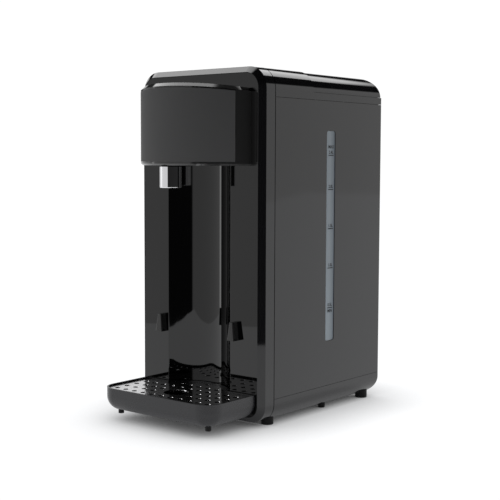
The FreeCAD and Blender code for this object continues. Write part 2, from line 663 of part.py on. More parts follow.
# ---------------------------------------------------------------- inner works
def make_inner_wall(y, foot_side, holes):
    """Upright sheet across the body on two screw blocks, with pipe holes."""
    floor = BODY_BOTTOM + WALL
    sheet = block(-94, 94, y, y + SHEET, floor + 12, SIDE_TOP - 1)
    foot_y = y - 12 if foot_side < 0 else y
    feet = [block(x - 6, x + 6, foot_y, foot_y + 12 + SHEET, floor, floor + 16) for x in (-SCREW_X, SCREW_X)]
    wall = fuse([sheet] + feet)
    bores = [rod(2.1, 14, x, sy, floor - 1) for x, sy in screw_places()]
    bores += [rod(radius, 10, x, y - 3, z, BACKWARD) for x, z, radius in holes]
    return wall.cut(Part.makeCompound(bores))


def make_tank_shelf():
    """Plate between the two inner walls that carries the tank."""
    shelf = block(-94, 94, FRONT_WALL_Y + SHEET, REAR_WALL_Y, TANK_BOTTOM - 4, TANK_BOTTOM)
    return shelf.cut(rod(9.5, 6, OUTLET_X, PUMP_Y, TANK_BOTTOM - 5))


def make_water_tank():
    """Clear tank, open at the top below the fill mouth."""
    outer = block(TANK_LEFT, TANK_RIGHT, TANK_FRONT, TANK_BACK, TANK_BOTTOM, TANK_TOP)
    upright = [edge for edge in outer.Edges if edge.BoundBox.ZLength > 100]
    outer = outer.makeFillet(6, upright)
    inner = block(TANK_LEFT + TANK_WALL, TANK_RIGHT - TANK_WALL,
                  TANK_FRONT + TANK_WALL, TANK_BACK - TANK_WALL,
                  TANK_BOTTOM + TANK_WALL, TANK_TOP + 1)
    upright = [edge for edge in inner.Edges if edge.BoundBox.ZLength > 100]
    inner = inner.makeFillet(6 - TANK_WALL, upright)
    return outer.cut(inner).cut(rod(6, 10, OUTLET_X, PUMP_Y, TANK_BOTTOM - 1))


def make_tank_outlet():
    """Check valve below the tank, straight on the pump."""
    top = TANK_BOTTOM + TANK_WALL
    low = PUMP_Z + 20
    valve = fuse([rod(5.8, top - low, OUTLET_X, PUMP_Y, low), rod(9, 8, OUTLET_X, PUMP_Y, low + 3)])
    return valve.cut(rod(3.5, top - low, OUTLET_X, PUMP_Y, low))


def make_tank_strainer():
    """Slotted cup over the outlet inside the tank."""
    low = TANK_BOTTOM + TANK_WALL
    cup = tube(9, 7.5, 12, OUTLET_X, PUMP_Y, low)
    cup = fuse([cup, rod(9, 1.5, OUTLET_X, PUMP_Y, low + 12)])
    for step in range(4):
        slot = block(OUTLET_X - 12, OUTLET_X + 12, PUMP_Y - 1, PUMP_Y + 1, low + 2, low + 10)
        cup = cup.cut(slot.rotate(V(OUTLET_X, PUMP_Y, low), UP, 45 * step))
    return cup


def make_top_deck(inner_space):
    """Inner cover below the lid, with the fill mouth over the tank."""
    plate = inner_space.common(block(-HALF, HALF, LID_FRONT - 6, BACK - 4, DECK_BOTTOM, DECK_TOP))
    left, right, front, back = MOUTH
    rim = block(left - 5, right + 3, front - 3, back + 3, TANK_TOP + 0.5, DECK_TOP + 4)
    mouth = block(left, right, front, back, TANK_TOP - 5, DECK_TOP + 5)
    corners = [edge for edge in mouth.Edges if edge.BoundBox.ZLength > 5]
    return fuse([plate, rim]).cut(mouth.makeFillet(8, corners))


def make_pump():
    """Diaphragm pump head below the tank outlet."""
    body = block(-60, -20, PUMP_Y - 20, PUMP_Y + 20, PUMP_Z - 20, PUMP_Z + 20)
    along = [edge for edge in body.Edges if edge.BoundBox.XLength > 20]
    body = body.makeFillet(6, along)
    return body.cut(rod(6, 16, -36, PUMP_Y, PUMP_Z, RIGHT))


def make_motor():
    """Round motor beside the pump; its front boss enters the pump."""
    return tube(19, 4, 62, -8, PUMP_Y, PUMP_Z, RIGHT).cut(rod(12, 50, 0, PUMP_Y, PUMP_Z, RIGHT))


def make_motor_shaft():
    """Shaft with rotor and the eccentric that works the pump."""
    shaft = rod(4 - FIT, 82, -30, PUMP_Y, PUMP_Z, RIGHT)
    rotor = rod(11, 44, 3, PUMP_Y, PUMP_Z, RIGHT)
    eccentric = rod(3.4, 6, -35, PUMP_Y + 1.5, PUMP_Z, RIGHT)
    return fuse([shaft, rotor, eccentric])


def make_pump_mounts():
    """Four rubber blocks between the pump set and the base."""
    floor = BODY_BOTTOM + WALL
    blocks = [rod(5, PUMP_Z - 20 - floor, x, PUMP_Y + y, floor) for x in (-52, -28) for y in (-12, 12)]
    saddle = block(10, 40, PUMP_Y - 14, PUMP_Y + 14, floor, PUMP_Z - 8)
    saddle = saddle.cut(rod(19 + TOUCH, 50, 0, PUMP_Y, PUMP_Z, RIGHT))
    return Part.makeCompound(blocks + [saddle])


def make_chamber():
    """Stainless vessel where gas meets water, with domed ends."""
    body = rod(CHAMBER_RADIUS, CHAMBER_TOP - CHAMBER_BOTTOM, 0, CHAMBER_Y, CHAMBER_BOTTOM)
    return body.makeFillet(8, [edge for edge in body.Edges if edge.BoundBox.ZLength < 0.01])


def make_chamber_cap():
    """Top fitting of the vessel with its two ports."""
    cap = rod(17, 8, 0, CHAMBER_Y, CHAMBER_TOP)
    return fuse([cap, rod(6, 10, 0, CHAMBER_Y, CHAMBER_TOP + 8)])


def make_chamber_bracket():
    """Strap that ties the vessel to the front inner wall."""
    strap = tube(CHAMBER_RADIUS + 0.9, CHAMBER_RADIUS, 14, 0, CHAMBER_Y, 210)
    ears = block(-38, 38, FRONT_WALL_Y - 1.6, FRONT_WALL_Y, 210, 224)
    return fuse([strap, ears.cut(rod(CHAMBER_RADIUS, 20, 0, CHAMBER_Y, 208))])


def make_solenoid_valves():
    """Water valve above the vessel and gas valve beside it."""
    water = block(-12, 12, CHAMBER_Y - 10, CHAMBER_Y + 10, CHAMBER_TOP + 18, CHAMBER_TOP + 40)
    water = fuse([water, rod(9, 24, 12, CHAMBER_Y, CHAMBER_TOP + 29, RIGHT)])
    gas = block(-84, -62, CHAMBER_Y - 10, CHAMBER_Y + 10, GAS_Z - 92, GAS_Z - 70)
    gas = fuse([gas, rod(9, 22, -73, CHAMBER_Y, GAS_Z - 114, UP)])
    return Part.makeCompound([water, gas])


def make_pipes():
    """Water line pump to vessel to nozzle, and the gas line along the left side."""
    foot = PUMP_Z - 8
    feed = hose([V(OUTLET_X, PUMP_Y - 20, foot), V(OUTLET_X, CHAMBER_Y, foot), V(0, CHAMBER_Y, foot),
                 V(0, CHAMBER_Y, CHAMBER_BOTTOM)], 3.5)
    rise = hose([V(0, CHAMBER_Y, CHAMBER_TOP + 40), V(0, CHAMBER_Y, PIPE_Z), V(0, NOZZLE_Y, PIPE_Z),
                 V(0, NOZZLE_Y, HEAD_BOTTOM + 12.5)], 3.5)
    valve_z, port_z = GAS_Z - 81, CHAMBER_TOP + 4
    gas = hose([V(-20, CYLINDER_Y - 20, GAS_Z), V(GAS_X, CYLINDER_Y - 20, GAS_Z), V(GAS_X, CHAMBER_Y, GAS_Z),
                V(GAS_X, CHAMBER_Y, GAS_Z - 70)], 2.5)
    inject = hose([V(-62, CHAMBER_Y, valve_z), V(-40, CHAMBER_Y, valve_z), V(-40, CHAMBER_Y, port_z),
                   V(-17, CHAMBER_Y, port_z)], 2.5)
    return Part.makeCompound([feed, rise]), Part.makeCompound([gas, inject])


def make_cylinder():
    """Gas cylinder: round foot, straight body, shoulder and neck."""
    low, radius, turn = CYLINDER_BOTTOM, CYLINDER_RADIUS, 6.0
    slant = turn * math.sin(math.radians(45))
    middle, toe, wall = V(0, 0, low), V(radius - turn, 0, low), V(radius, 0, low + turn)
    foot = Part.Arc(toe, V(radius - turn + slant, 0, low + turn - slant), wall)
    waist = V(radius, 0, CYLINDER_SHOULDER - 18)
    neck = V(12, 0, CYLINDER_SHOULDER)
    shoulder = Part.Arc(waist, V(24.7, 0, CYLINDER_SHOULDER - 5.3), neck)
    crown = V(12, 0, VALVE_BOTTOM)
    tip = V(0, 0, VALVE_BOTTOM)
    edges = [Part.makeLine(middle, toe), foot.toShape(), Part.makeLine(wall, waist),
             shoulder.toShape(), Part.makeLine(neck, crown), Part.makeLine(crown, tip),
             Part.makeLine(tip, middle)]
    solid = Part.Face(Part.Wire(edges)).revolve(V(0, 0, 0), UP, 360)
    return solid.translated(V(0, CYLINDER_Y, 0))


def make_cylinder_valve():
    """Brass valve with a collar seat and a threaded nose."""
    body = rod(13, 22, 0, CYLINDER_Y, VALVE_BOTTOM)
    nose = rod(10, VALVE_TOP - VALVE_BOTTOM - 22, 0, CYLINDER_Y, VALVE_BOTTOM + 22)
    return fuse([body, nose])


def make_regulator():
    """Pressure regulator block that takes the valve nose, hung on the rear inner wall."""
    low = VALVE_TOP - 12
    body = block(-20, 20, REAR_WALL_Y + SHEET, CYLINDER_Y + 18, low + 1, VALVE_TOP + 20)
    return body.cut(rod(10.0 + TOUCH, 11, 0, CYLINDER_Y, low + 1))


def make_cylinder_collar():
    """Quarter-turn locking collar round the valve, with a thumb tab."""
    low = VALVE_BOTTOM + 6
    ring = rod(19, 12, 0, CYLINDER_Y, low)
    tab = block(12, 29, CYLINDER_Y - 4, CYLINDER_Y + 4, low, low + 12)
    return fuse([ring, tab]).cut(rod(13 + FIT, 12, 0, CYLINDER_Y, low))


def make_cylinder_cradle(inner_space):
    """Dished seat that the cylinder stands in."""
    floor = BODY_BOTTOM + WALL
    seat = rod(34, CYLINDER_BOTTOM + 8 - floor, 0, CYLINDER_Y, floor)
    cylinder = rod(CYLINDER_RADIUS + 0.2, 40, 0, CYLINDER_Y, CYLINDER_BOTTOM)
    return seat.cut(cylinder).common(inner_space)


def make_power_board():
    """Main circuit board on the left, with its tall parts."""
    board = block(-92, -90.4, FRONT + 30, FRONT + 92, 90, 210)
    parts = [block(-90.4, -74, FRONT + 40, FRONT + 62, 100, 130),
             block(-90.4, -80, FRONT + 66, FRONT + 84, 150, 180),
             rod(7, 20, -90.4, FRONT + 48, 165, RIGHT)]
    return board, Part.makeCompound(parts)


def make_mains_inlet():
    """Appliance inlet: flange outside, socket body inside."""
    x, z = INLET_X, ELECTRIC_Z
    flange = block(x - 15, x + 15, BACK, BACK + 1.5, z - 13, z + 13)
    body = block(x - 11.8, x + 11.8, BACK - 22, BACK, z - 10.3, z + 10.3)
    return fuse([flange, body]).cut(block(x - 9.5, x + 9.5, BACK - 18, BACK + 2, z - 7.5, z + 7.5))


def make_inlet_pins():
    """Three flat contact pins inside the inlet."""
    pins = []
    for x, z in ((-5, -2), (0, 3), (5, -2)):
        centre_x, centre_z = INLET_X + x, ELECTRIC_Z + z
        pins.append(block(centre_x - 1, centre_x + 1, BACK - 18, BACK - 3, centre_z - 2, centre_z + 2))
    return Part.makeCompound(pins)


def trunnion(radius, reach):
    """A round bar on the rocker's axis."""
    return rod(radius, 2 * reach, SWITCH_X - reach, BACK - 4, ELECTRIC_Z, RIGHT)


def make_switch_body():
    """Frame and housing of the rocker switch, with bearings for the key."""
    x, z = SWITCH_X, ELECTRIC_Z
    flange = block(x - 14, x + 14, BACK, BACK + 1.0, z - 13, z + 13)
    body = block(x - 11.8, x + 11.8, BACK - 18, BACK, z - 10.3, z + 10.3)
    body = fuse([flange, body]).cut(block(x - 7, x + 7, BACK - 12, BACK + 2, z - 9.6, z + 9.6))
    return body.cut(trunnion(TRUNNION_RADIUS + FIT, TRUNNION_REACH + 0.2))


def make_rocker():
    """Rocker key on its trunnions, resting tilted to its off side."""
    x, z = SWITCH_X, ELECTRIC_Z
    key = block(x - 6.6, x + 6.6, BACK - 8.5, BACK + 0.8, z - 8.5, z + 8.5)
    key = fuse([key, trunnion(TRUNNION_RADIUS, TRUNNION_REACH)])
    return key.rotate(V(x, BACK - 4, z), RIGHT, ROCKER_TILT)


def make_inner_lead():
    """Mains lead inside the case, from the inlet to the board."""
    rear, front = BACK - 30, FRONT + 60
    return hose([V(INLET_X, BACK - 22, ELECTRIC_Z), V(INLET_X, rear, ELECTRIC_Z), V(LEAD_X, rear, ELECTRIC_Z),
                 V(LEAD_X, rear, LEAD_Z), V(LEAD_X, front, LEAD_Z), V(-91.2, front, LEAD_Z + 12),
                 V(-91.2, front, 90)], 2.0)


# ---------------------------------------------------------------- assembly
def make_parts():
    """Every node of the object by name."""
    solid_body = envelope(0)
    inner_space = envelope(WALL)
    shell = solid_body.cut(inner_space)
    slot = window_block(HALF - 6, HALF + 1, 0.0)
    side = make_side_cover(shell)
    water_hole = [(OUTLET_X, PUMP_Z - 8, 4)]
    side_holes = [(GAS_X, GAS_Z, 3), (LEAD_X, LEAD_Z, 3)]
    nodes = {
        "base_cover": make_base_cover(shell),
        "right_side_cover": side.cut(slot),
        "left_side_cover": mirrored(side),
        "rear_panel": make_rear_panel(shell),
        "top_cover": make_top_cover(shell),
        "front_frame": make_front_frame(),
        "front_panel": make_front_panel(),
        "level_window": window_block(TANK_RIGHT + 0.2, HALF - 0.7, -0.15),
        "tank_lid": make_tank_lid(),
        "lid_hinge_pins": make_lid_pins(),
        "lid_inner_panel": make_lid_inner_panel(),
        "lid_seal": make_lid_seal(),
        "rear_door": make_rear_door(),
        "door_hinge_pins": make_door_pins(),
        "head_housing": make_head_housing(),
        "head_front_cover": head_front_cover(),
        "head_cap": make_head_cap(),
        "button_board": make_button_board(),
        "button_switches": make_button_switches(),
        "nozzle": make_nozzle(),
        "nozzle_seal": make_nozzle_seal(),
        "nozzle_insert": make_nozzle_insert(),
        "tray_hooks": Part.makeCompound([both_sides(hook(*RAISED_HOOK)), both_sides(hook(*RESTING_HOOK))]),
        "drip_tray": make_drip_tray(),
        "drip_grille": make_drip_grille(),
        "tray_feet": make_tray_feet(),
        "main_feet": make_feet(MAIN_FEET, solid_body),
        "middle_feet": make_feet(MIDDLE_FEET, solid_body),
        "base_screws": make_base_screws(),
        "front_inner_wall": make_inner_wall(FRONT_WALL_Y, -1, water_hole + side_holes),
        "rear_inner_wall": make_inner_wall(REAR_WALL_Y, 1, side_holes),
        "tank_shelf": make_tank_shelf(),
        "water_tank": make_water_tank(),
        "tank_outlet_valve": make_tank_outlet(),
        "tank_strainer": make_tank_strainer(),
        "top_deck": make_top_deck(inner_space),
        "pump": make_pump(),
        "motor": make_motor(),
        "motor_shaft": make_motor_shaft(),
        "pump_mounts": make_pump_mounts(),
        "carbonation_chamber": make_chamber(),
        "chamber_cap": make_chamber_cap(),
        "chamber_bracket": make_chamber_bracket(),
        "gas_cylinder": make_cylinder(),
        "cylinder_valve": make_cylinder_valve(),
        "gas_regulator": make_regulator(),
        "cylinder_collar": make_cylinder_collar(),
        "cylinder_cradle": make_cylinder_cradle(inner_space),
        "solenoid_valves": make_solenoid_valves(),
        "mains_inlet": make_mains_inlet(),
        "inlet_pins": make_inlet_pins(),
        "switch_body": make_switch_body(),
        "power_rocker": make_rocker(),
        "inner_mains_lead": make_inner_lead(),
    }
    for name, x in button_places().items():
        nodes[name] = make_button(x)
    nodes["water_pipes"], nodes["gas_pipes"] = make_pipes()
    board, components = make_power_board()
    nodes["power_board"] = Part.makeCompound([board] + components.Solids)
    return nodes


def write_parts():
    """Write one STEP file per node."""
    os.makedirs("parts", exist_ok=True)
    for name, shape in make_parts().items():
        shape.exportStep(os.path.join("parts", name + ".step"))


write_parts()
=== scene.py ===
"""Looks of the soda carbonator: materials, printed marks, studio and camera.

Everything is in metres, in the CAD frame: X is the width, -Y the front, +Z up, the floor at z = 0.
"""
import json
import math

import bmesh
import bpy
from mathutils import Matrix, Vector


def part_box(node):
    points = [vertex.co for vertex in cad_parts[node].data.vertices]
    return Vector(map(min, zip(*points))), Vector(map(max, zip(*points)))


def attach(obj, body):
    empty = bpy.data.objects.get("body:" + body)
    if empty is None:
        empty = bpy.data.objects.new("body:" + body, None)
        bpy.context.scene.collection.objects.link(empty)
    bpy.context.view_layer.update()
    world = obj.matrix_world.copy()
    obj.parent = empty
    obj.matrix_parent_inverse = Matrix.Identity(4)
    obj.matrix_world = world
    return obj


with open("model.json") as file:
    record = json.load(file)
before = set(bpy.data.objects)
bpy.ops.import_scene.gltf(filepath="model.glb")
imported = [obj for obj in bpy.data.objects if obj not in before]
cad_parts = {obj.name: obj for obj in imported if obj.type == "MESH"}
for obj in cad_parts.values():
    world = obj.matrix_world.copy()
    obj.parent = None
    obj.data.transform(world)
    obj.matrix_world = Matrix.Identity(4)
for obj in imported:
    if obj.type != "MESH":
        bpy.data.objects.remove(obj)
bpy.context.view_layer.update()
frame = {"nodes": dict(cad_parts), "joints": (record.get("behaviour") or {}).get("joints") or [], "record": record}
NODES = frame["nodes"]

# ---------------------------------------------------------------- driving dimensions
# Surfaces
CLOUD_SCALE = 22.0                     # slow cloudiness of mouldings, in noise cells per metre
SHARP_ANGLE = math.radians(28)         # faces that meet at less than this shade as one
ACRYLIC_IOR = 1.49

# Printed litre scale on the level strip
MARK_HEIGHTS = {"0.5L": 0.1331, "1.0L": 0.1840, "1.5L": 0.2340, "2.0L": 0.2835, "2.4L": 0.3265}
MARK_LENGTH, MARK_THICK, MARK_DEPTH = 0.0112, 0.0012, 0.0001
MARK_SHIFT = 0.0008                    # from the middle of the strip to the rear
DIGIT_SIZE, DIGIT_RISE = 0.0056, 0.0037
MIN_DROP, MAX_RISE = 0.0042, 0.0105    # of the words below the lowest and above the highest mark
PRINT_LIFT = 0.00002                   # of a print above the face that it is on
LETTER_DEPTH, LETTER_WEIGHT = 0.00004, 0.00014

# Symbols on the buttons and the rocker
SYMBOL_DEPTH = 0.00006
STROKE, FINE_STROKE = 0.0006, 0.0005
POWER_RADIUS, POWER_FROM, POWER_TO = 0.0032, 125, 415      # the ring's arc, in degrees
STEM_LENGTH, STEM_RISE = 0.0034, 0.0028
DROP_RADIUS, DROP_FROM, DROP_TO = 0.0024, 135, 405
DROP_SINK = 0.001                      # of the drop's round part below the middle of the button
SIDE_LENGTH, SIDE_OUT, SIDE_RISE, SIDE_LEAN = 0.0035, 0.00085, 0.0021, math.radians(29)
BUBBLES = ((0.0, -0.0018, 0.0017), (0.0018, 0.0013, 0.0011), (-0.0016, 0.0016, 0.0008))   # x, y, radius
ROCKER_TILT = math.radians(8)          # of the rocker's face at rest
ROCKER_FACE = 0.0048                   # from the rocker's pivot out to its face
ROCKER_MARK_RISE = 0.0045
OFF_RADIUS, ON_LENGTH = 0.0018, 0.0036

# Studio: table outline from above, anticlockwise from its front corner
TABLE = ((0.09, -1.045), (0.31, -0.90), (0.46, -0.70), (0.52, -0.62), (0.56, -0.47), (1.6, 0.6), (6.0, 8.0),
         (-6.0, 8.0), (-6.0, 2.9), (-0.63, -0.61), (-0.39, -0.735), (-0.16, -0.88))
# Painted shade on the self-lit floor, from ambient occlusion: its reach, its samples and the floor's glow levels
FLOOR_PAINTED_SHADE_REACH = 0.10
FLOOR_PAINTED_SHADE_SAMPLES = 12
FLOOR_LEVELS = (0.03, 1.06)            # of the floor where it is fully covered and fully open

# Studio: the room, in degrees of bearing from the front towards +X and of height
WALL_LEVEL, WALL_FALL = 1.02, 0.15     # brightness at the sides, and how much less it is in front
WALL_TOP, CEILING_EDGE, LEVEL_SOFTNESS = 18.0, 33.0, 2.0
DARK_FROM, DARK_TO, DARK_SOFTNESS = 10.0, 131.0, 2.5
DARK_DEPTH = 0.985                     # share of the wall's light that the unlit side loses
STRIP_BEARING, STRIP_HALF, STRIP_SOFTNESS = -67.0, 2.5, 0.8
STRIP_GLOW = 1.6                       # of the slim bright panel on the left of the front
CEILING_GLOW = 4.0
# Edges of the ceiling light, by the x and y of the direction: the right one, its slant, and the front one.
CEILING_SIDE, CEILING_LEAN, CEILING_SIDE_SOFTNESS = -0.06, 0.28, 0.02
CEILING_FRONT, CEILING_FRONT_SOFTNESS = -0.2, 0.05
ROOM_GLOW = 0.01                       # everywhere in the room
BACKDROP_GLOW = 1.3                    # of the white seen behind the object

CAMERA_PLACE = Vector((0.8972, -1.0904, 0.3188))
CAMERA_TARGET = Vector((0.0, 0.0113, 0.2038))
CAMERA_ROLL = math.radians(0.20)
CAMERA_LENS, CAMERA_SENSOR, CAMERA_NEAR = 78.98, 36.0, 0.05


# ---------------------------------------------------------------- shader helpers
def new_material(name):
    """A material with a Principled shader; returns (material, node tree, shader)."""
    material = bpy.data.materials.new(name)
    material.use_nodes = True
    tree = material.node_tree
    return material, tree, tree.nodes["Principled BSDF"]


def noise(tree, scale, detail=3.0, stretch=(1, 1, 1)):
    """Noise over the object's own coordinates, in metres, as a 0 to 1 value."""
    coordinates = tree.nodes.new("ShaderNodeTexCoord")
    mapping = tree.nodes.new("ShaderNodeMapping")
    mapping.inputs["Scale"].default_value = stretch
    texture = tree.nodes.new("ShaderNodeTexNoise")
    texture.inputs["Scale"].default_value = scale
    texture.inputs["Detail"].default_value = detail
    tree.links.new(coordinates.outputs["Object"], mapping.inputs["Vector"])
    tree.links.new(mapping.outputs["Vector"], texture.inputs["Vector"])
    return texture.outputs["Fac"]


def spread(tree, value, low, high, from_low=0.3, from_high=0.7):
    """Maps a value between from_low and from_high onto the range low to high."""
    ranged = tree.nodes.new("ShaderNodeMapRange")
    ranged.inputs["From Min"].default_value = from_low
    ranged.inputs["From Max"].default_value = from_high
    ranged.inputs["To Min"].default_value = low
    ranged.inputs["To Max"].default_value = high
    tree.links.new(value, ranged.inputs["Value"])
    return ranged.outputs["Result"]


def blend_colours(tree, value, first, second):
    """A colour between two, by a 0 to 1 value."""
    mix = tree.nodes.new("ShaderNodeMix")
    mix.data_type = "RGBA"
    factor, colour_a, colour_b = mix.inputs[0], mix.inputs[6], mix.inputs[7]
    colour_a.default_value = (*first, 1)
    colour_b.default_value = (*second, 1)
    tree.links.new(value, factor)
    return mix.outputs[2]


def bump(tree, shader, height, strength, distance):
    """Fine relief from a height value."""
    node = tree.nodes.new("ShaderNodeBump")
    node.inputs["Strength"].default_value = strength
    node.inputs["Distance"].default_value = distance
    tree.links.new(height, node.inputs["Height"])
    tree.links.new(node.outputs["Normal"], shader.inputs["Normal"])


def plastic(name, dark, light, smooth, rough, grain, grain_depth, ior=1.5):
    """Moulded plastic: slight cloudiness in colour and roughness, and a fine surface texture."""
    material, tree, shader = new_material(name)
    shader.inputs["IOR"].default_value = ior
    cloud = noise(tree, CLOUD_SCALE, 4.0)
    tree.links.new(blend_colours(tree, cloud, dark, light), shader.inputs["Base Color"])
    tree.links.new(spread(tree, cloud, smooth, rough), shader.inputs["Roughness"])
    bump(tree, shader, noise(tree, grain, 2.0), 0.25, grain_depth)
    return material


def metal(name, dark, light, smooth, rough, stretch, grain, depth=0.00001):
    """Metal with drawn or cast grain; stretch squeezes the grain along one axis."""
    material, tree, shader = new_material(name)
    shader.inputs["Metallic"].default_value = 1.0
    grain_value = noise(tree, grain, 4.0, stretch)
    tree.links.new(blend_colours(tree, grain_value, dark, light), shader.inputs["Base Color"])
    tree.links.new(spread(tree, grain_value, smooth, rough), shader.inputs["Roughness"])
    bump(tree, shader, grain_value, 0.15, depth)
    return material


def clear_plastic(name, colour, roughness, transmission):
    """See-through moulding with faint flow lines."""
    material, tree, shader = new_material(name)
    shader.inputs["Transmission Weight"].default_value = transmission
    shader.inputs["IOR"].default_value = ACRYLIC_IOR
    streaks = noise(tree, 60.0, 3.0, (1, 1, 0.15))
    tint = [channel * 0.93 for channel in colour]
    tree.links.new(blend_colours(tree, streaks, tint, colour), shader.inputs["Base Color"])
    tree.links.new(spread(tree, streaks, roughness * 0.7, roughness * 1.3), shader.inputs["Roughness"])
    bump(tree, shader, streaks, 0.1, 0.00005)
    return material


def window_material():
    """Milky level strip: paler to the front, with painted shade that makes it darker and bluer towards the rear.
    """
    material, tree, shader = new_material("milky_window")
    low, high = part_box("level_window")
    shader.inputs["IOR"].default_value = ACRYLIC_IOR
    shader.inputs["Roughness"].default_value = 0.22
    coordinates = tree.nodes.new("ShaderNodeTexCoord")
    split = tree.nodes.new("ShaderNodeSeparateXYZ")
    tree.links.new(coordinates.outputs["Object"], split.inputs["Vector"])
    # Painted shade: from a little before the middle of the strip to its rear edge, the colour darkens and turns
    # bluer.
    painted_rear_shade = spread(tree, split.outputs["Y"], 0.0, 1.0, low.y + (high.y - low.y) * 0.45, high.y)
    shade = blend_colours(tree, painted_rear_shade, (0.30, 0.355, 0.40), (0.13, 0.165, 0.205))
    tree.links.new(shade, shader.inputs["Base Color"])
    bump(tree, shader, noise(tree, 300.0), 0.1, 0.00003)
    return material


def circuit_material():
    """Green solder mask with copper tracks showing through."""
    material, tree, shader = new_material("circuit_board")
    tracks = noise(tree, 420.0, 0.0, (1, 0.25, 0.25))
    sharp = spread(tree, tracks, 0.0, 1.0, 0.5, 0.54)
    green = blend_colours(tree, sharp, (0.01, 0.07, 0.03), (0.03, 0.2, 0.07))
    tree.links.new(green, shader.inputs["Base Color"])
    shader.inputs["Roughness"].default_value = 0.3
    bump(tree, shader, sharp, 0.3, 0.00003)
    return material


# ---------------------------------------------------------------- materials
# Plastic rows: darkest and palest colour, smoothest and roughest, grain, grain depth, and IOR if not 1.5.
PLASTICS = {
    "gloss_black": ((0.006, 0.006, 0.007), (0.010, 0.010, 0.011), 0.03, 0.06, 45.0, 0.00002),
    "panel_gloss": ((0.0012, 0.0012, 0.0013), (0.002, 0.002, 0.0022), 0.02, 0.04, 30.0, 0.00002),
    "satin_black": ((0.110, 0.110, 0.111), (0.122, 0.122, 0.123), 0.40, 0.48, 1800.0, 0.00002, 1.05),
    "head_black": ((0.028, 0.028, 0.028), (0.032, 0.032, 0.032), 0.03, 0.05, 200.0, 0.00001),
    "button_plastic": ((0.02, 0.02, 0.021), (0.03, 0.03, 0.031), 0.28, 0.36, 1500.0, 0.00002),
    "tray_black": ((0.009, 0.009, 0.011), (0.013, 0.013, 0.016), 0.24, 0.30, 1600.0, 0.00002),
    "rubber": ((0.004, 0.004, 0.004), (0.008, 0.008, 0.008), 0.55, 0.75, 900.0, 0.00006, 1.35),
    "inner_plastic": ((0.42, 0.43, 0.44), (0.52, 0.53, 0.54), 0.4, 0.55, 700.0, 0.00005),
    "inner_black": ((0.014, 0.014, 0.015), (0.024, 0.024, 0.025), 0.35, 0.5, 1100.0, 0.00004),
    "mesh_grey": ((0.2, 0.2, 0.21), (0.28, 0.28, 0.29), 0.45, 0.6, 900.0, 0.00005),
    "switch_black": ((0.015, 0.015, 0.015), (0.03, 0.03, 0.03), 0.4, 0.5, 1200.0, 0.00003),
    "hose_clear": ((0.5, 0.52, 0.53), (0.6, 0.62, 0.63), 0.3, 0.4, 300.0, 0.00003),
    "white_print": ((0.55, 0.55, 0.55), (0.65, 0.65, 0.65), 0.45, 0.6, 2500.0, 0.000005),
    "grey_print": ((0.004, 0.005, 0.007), (0.007, 0.008, 0.010), 0.5, 0.65, 2500.0, 0.000005, 1.2),
}

# Metal rows: darkest and palest colour, smoothest and roughest, stretch, grain, and grain depth.
METALS = {
    "chrome": ((0.78, 0.78, 0.80), (0.84, 0.84, 0.86), 0.02, 0.05, (1, 1, 1), 60.0, 0.000005),
    "polished_steel": ((0.56, 0.56, 0.57), (0.64, 0.64, 0.65), 0.15, 0.21, (1, 14, 1), 40.0),
    "vessel_steel": ((0.50, 0.50, 0.51), (0.62, 0.62, 0.63), 0.18, 0.32, (1, 1, 20), 60.0),
    "screw_steel": ((0.45, 0.45, 0.46), (0.6, 0.6, 0.61), 0.2, 0.35, (1, 1, 1), 900.0),
    "sheet_steel": ((0.38, 0.39, 0.41), (0.56, 0.57, 0.59), 0.3, 0.5, (1, 1, 1), 90.0),
    "motor_metal": ((0.36, 0.36, 0.37), (0.5, 0.5, 0.51), 0.25, 0.4, (14, 1, 1), 80.0),
    "brass": ((0.62, 0.42, 0.16), (0.75, 0.54, 0.24), 0.18, 0.32, (1, 1, 12), 120.0),
    "cylinder_aluminium": ((0.5, 0.52, 0.55), (0.62, 0.64, 0.67), 0.28, 0.4, (1, 1, 10), 90.0),
    "regulator_metal": ((0.45, 0.45, 0.46), (0.58, 0.58, 0.59), 0.35, 0.5, (1, 1, 1), 500.0, 0.00003),
}


def make_materials():
    """One material for each slot of the record, and two for the prints."""
    made = {name: plastic(name, *row) for name, row in PLASTICS.items()}
    made.update({name: metal(name, *row) for name, row in METALS.items()})
    made["clear_strip"] = window_material()
    made["clear_tank"] = clear_plastic("clear_tank", (0.88, 0.93, 0.96), 0.06, 0.9)
    made["circuit_green"] = circuit_material()
    return made


MATERIALS = make_materials()


def dress_nodes():
    """Gives every CAD node the material of its record slot, and smooth shading across soft edges."""
    slots = {part["node"]: part["material_slot"] for part in frame["record"]["subparts"]}
    for name, node in NODES.items():
        node.data.materials.clear()
        node.data.materials.append(MATERIALS[slots[name]])
        node.data.shade_smooth()
        node.data.set_sharp_from_angle(angle=SHARP_ANGLE)


# ---------------------------------------------------------------- prints
# Text and strokes are drawn in their own XY plane and turned so that they read from one side.
READ_FROM_RIGHT = Matrix(((0, 0, 1, 0), (1, 0, 0, 0), (0, 1, 0, 0), (0, 0, 0, 1)))
READ_FROM_BACK = Matrix(((-1, 0, 0, 0), (0, 0, 1, 0), (0, 1, 0, 0), (0, 0, 0, 1)))


def place(mesh_data, name, material, body):
    """Adds a mesh as a piece that rides on a body."""
    piece = bpy.data.objects.new(name, mesh_data)
    bpy.context.scene.collection.objects.link(piece)
    piece.data.materials.clear()
    piece.data.materials.append(MATERIALS[material])
    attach(piece, body)


def text_mesh(words, turn):
    """Flat lettering as a mesh, centred on the origin and then turned into place."""
    curve = bpy.data.curves.new("lettering", "FONT")
    curve.body = words
    curve.size = DIGIT_SIZE
    curve.align_x = "CENTER"
    curve.align_y = "CENTER"
    curve.extrude = LETTER_DEPTH
    curve.offset = LETTER_WEIGHT
    holder = bpy.data.objects.new("lettering", curve)
    bpy.context.scene.collection.objects.link(holder)
    bpy.context.view_layer.update()
    mesh_data = bpy.data.meshes.new_from_object(holder)
    bpy.data.objects.remove(holder)
    mesh_data.transform(turn)
    return mesh_data


